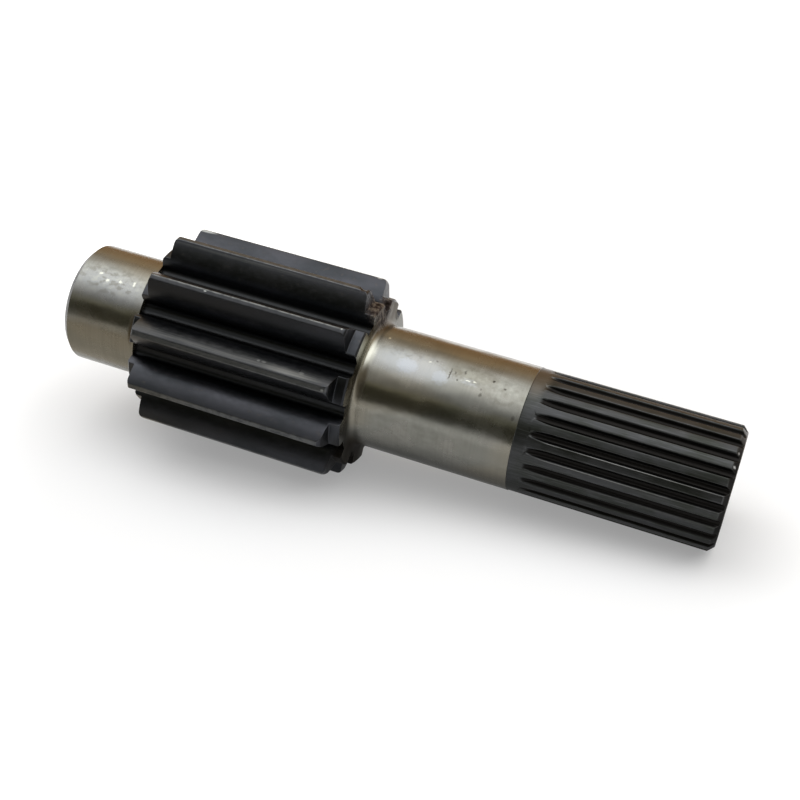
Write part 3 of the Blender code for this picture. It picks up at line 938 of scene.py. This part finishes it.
# The paper takes the lamp's light and the shaft's shadow, and glows white away from it
bpy.ops.mesh.primitive_plane_add(size=FLOOR_SIZE, location=(0.0, 0.0, 0.0))
floor = bpy.context.object
floor.name = 'studio_floor'
floor_material = bpy.data.materials.new('white_studio_paper')
floor_material.use_nodes = True
tree = floor_material.node_tree
tree.nodes.clear()
paper = add_node(tree, 'BsdfDiffuse', {'Color': '#C8C8C8'})
spot = add_node(tree, 'TexCoord').outputs['Object']
away = add_node(tree, 'VectorMath', {0: spot}, operation='LENGTH').outputs['Value']
strength = how_much(tree, seen_directly(tree), (away, GLOW_STARTS, GLOW_ENDS, NEAR_GLOW, FAR_GLOW))
glow = add_node(tree, 'Emission', {'Color': '#FFFFFF', 'Strength': strength})
both = add_node(tree, 'AddShader', {0: paper.outputs[0], 1: glow.outputs[0]})
add_node(tree, 'OutputMaterial', {'Surface': both.outputs[0]})
floor.data.materials.append(floor_material)

world = bpy.data.worlds.new('studio_world')
bpy.context.scene.world = world
world.use_nodes = True
tree = world.node_tree
tree.nodes.clear()
sky = add_node(tree, 'Background', {
    'Color': '#FFFFFF',
    'Strength': how_much(tree, (seen_directly(tree), 0.0, 1.0, AMBIENT_LEVEL, 1.0)),
})
add_node(tree, 'OutputWorld', {'Surface': sky.outputs[0]})


def studio_card(name, corners, paint, lights_scene=False):
    """A flat glowing card that the camera doesn't see; paint gives its colour and strength."""
    sheet = bmesh.new()
    bmesh.ops.contextual_create(sheet, geom=[sheet.verts.new(corner) for corner in corners])
    mesh = bpy.data.meshes.new(name)
    sheet.to_mesh(mesh)
    sheet.free()
    card = bpy.data.objects.new(name, mesh)
    bpy.context.scene.collection.objects.link(card)
    material = bpy.data.materials.new(name + '_cloth')
    material.use_nodes = True
    tree = material.node_tree
    tree.nodes.clear()
    spot = add_node(tree, 'TexCoord').outputs['Object']
    shade, strength = paint(tree, add_node(tree, 'SeparateXYZ', {'Vector': spot}).outputs)
    light = add_node(tree, 'Emission', {'Color': shade, 'Strength': strength})
    add_node(tree, 'OutputMaterial', {'Surface': light.outputs[0]})
    mesh.materials.append(material)
    card.visible_camera = False
    card.visible_diffuse = lights_scene
    card.visible_shadow = False


# The lamp: a cloth three metres long, brightest over the shaft and warmer at the back
LAMP_HEIGHT = 1.2
LAMP_FRONT = -1.35
LAMP_BACK = 1.2
LAMP_HALF_LENGTH = 1.6
LAMP_MIDDLE = 0.02
LAMP_FADE = 0.5
LAMP_STRENGTH = 2.75
LAMP_EDGE_STRENGTH = 0.3


def paint_lamp(tree, place):
    off_middle = add_node(tree, 'Math', {0: place['Y'], 1: LAMP_MIDDLE}, operation='SUBTRACT')
    share = how_much(tree, off_middle.outputs[0], 1.0 / LAMP_FADE)
    fall = how_much(tree, share, share, -0.5)
    bell = add_node(tree, 'Math', {0: fall}, operation='EXPONENT').outputs[0]
    strength = add_node(tree, 'Math', {
        0: bell, 1: LAMP_STRENGTH, 2: LAMP_EDGE_STRENGTH,
    }, operation='MULTIPLY_ADD')
    return lay_over(tree, '#FFFFFF', '#FFE3BC', (place['Y'], 0.35, 1.2)), strength.outputs[0]


studio_card('softbox', [
    (-LAMP_HALF_LENGTH, LAMP_FRONT, LAMP_HEIGHT), (-LAMP_HALF_LENGTH, LAMP_BACK, LAMP_HEIGHT),
    (LAMP_HALF_LENGTH, LAMP_BACK, LAMP_HEIGHT), (LAMP_HALF_LENGTH, LAMP_FRONT, LAMP_HEIGHT),
], paint_lamp, lights_scene=True)


# A card in front, dark near the floor: it draws the dark band along the journals
def paint_dark_card(tree, place):
    return '#B4B090', how_much(tree, (place['Z'], 0.93, 1.13, 0.17, 0.95))


studio_card('dark_card', [
    (-3, -1.5, 0.08), (3, -1.5, 0.08), (3, -1.5, 1.3), (-3, -1.5, 1.3),
], paint_dark_card)


# Two cards on the floor: they keep the left journal's and the middle journal's undersides
# from mirroring a floor as bright as the white one behind
def paint_left_floor(tree, place):
    return '#FFF4E2', how_much(tree, (place['Y'], -0.75, -0.12, 0.4, 0.82))


def paint_floor_below(tree, place):
    off_middle = add_node(tree, 'Math', {0: place['Y']}, operation='ABSOLUTE').outputs[0]
    return '#FFFFFF', how_much(tree, (off_middle, 0.02, 0.07, 0.2, 0.8))


studio_card('floor_on_the_left', [
    (-0.6, -0.8, 0.003), (-0.15, -0.8, 0.003), (-0.15, -0.02, 0.003), (-0.6, -0.02, 0.003),
], paint_left_floor)
studio_card('floor_below', [
    (-0.15, -0.07, 0.002), (0.25, -0.07, 0.002), (0.25, 0.07, 0.002), (-0.15, 0.07, 0.002),
], paint_floor_below)


# A pale card beyond the splined end, for the shoulder's face and its fillet, and a brown
# one behind the shaft, for the warm band along its top
def paint_side_card(tree, place):
    return '#D6CFBE', 0.8


def paint_brown_card(tree, place):
    shade = lay_over(tree, '#D9AC78', '#F8DCB4', (place['Z'], 0.3, 1.7))
    return shade, how_much(tree, (place['Z'], 0.3, 1.7, 0.8, 1.15))


studio_card('side_card', [
    (2.0, -1.4, 0.03), (2.0, 1.5, 0.03), (2.0, 1.5, 1.4), (2.0, -1.4, 1.4),
], paint_side_card)
studio_card('brown_card', [
    (-3, 1.6, 0.05), (3, 1.6, 0.05), (3, 1.6, 1.7), (-3, 1.6, 1.7),
], paint_brown_card)


# THE CAMERA
# It looks at the shaft from the splined end's side, a little above, and is rolled as in
# the photograph. Its place is given along, away from and around the shaft's axis.

CAMERA_ALONG = 0.40433
CAMERA_DISTANCE = 0.78278
AIM_ALONG = 0.21181
AIM_ABOVE = -0.00497
CAMERA_ROLL = 0.288786
LENS_LENGTH = 60.307
SENSOR_WIDTH = 36.0

facing = Matrix.Rotation(-FRONT_RISE, 4, 'X')
camera_place = Vector((CAMERA_ALONG, -CAMERA_DISTANCE, 0.0))
aim_place = Vector((AIM_ALONG, 0.0, AIM_ABOVE))
forward = (aim_place - camera_place).normalized()
level_right = forward.cross(Vector((0.0, 0.0, 1.0))).normalized()
level_up = level_right.cross(forward)
right = level_right * math.cos(CAMERA_ROLL) + level_up * math.sin(CAMERA_ROLL)
up = level_up * math.cos(CAMERA_ROLL) - level_right * math.sin(CAMERA_ROLL)
pointing = Matrix((right, up, -forward)).transposed().to_4x4()
camera_data = bpy.data.cameras.new('camera')
camera_data.lens = LENS_LENGTH
camera_data.sensor_width = SENSOR_WIDTH
camera = bpy.data.objects.new('camera', camera_data)
camera.matrix_world = placement @ facing @ Matrix.Translation(camera_place) @ pointing
bpy.context.scene.collection.objects.link(camera)
bpy.context.scene.camera = camera
bpy.context.scene.view_settings.view_transform = 'Standard'
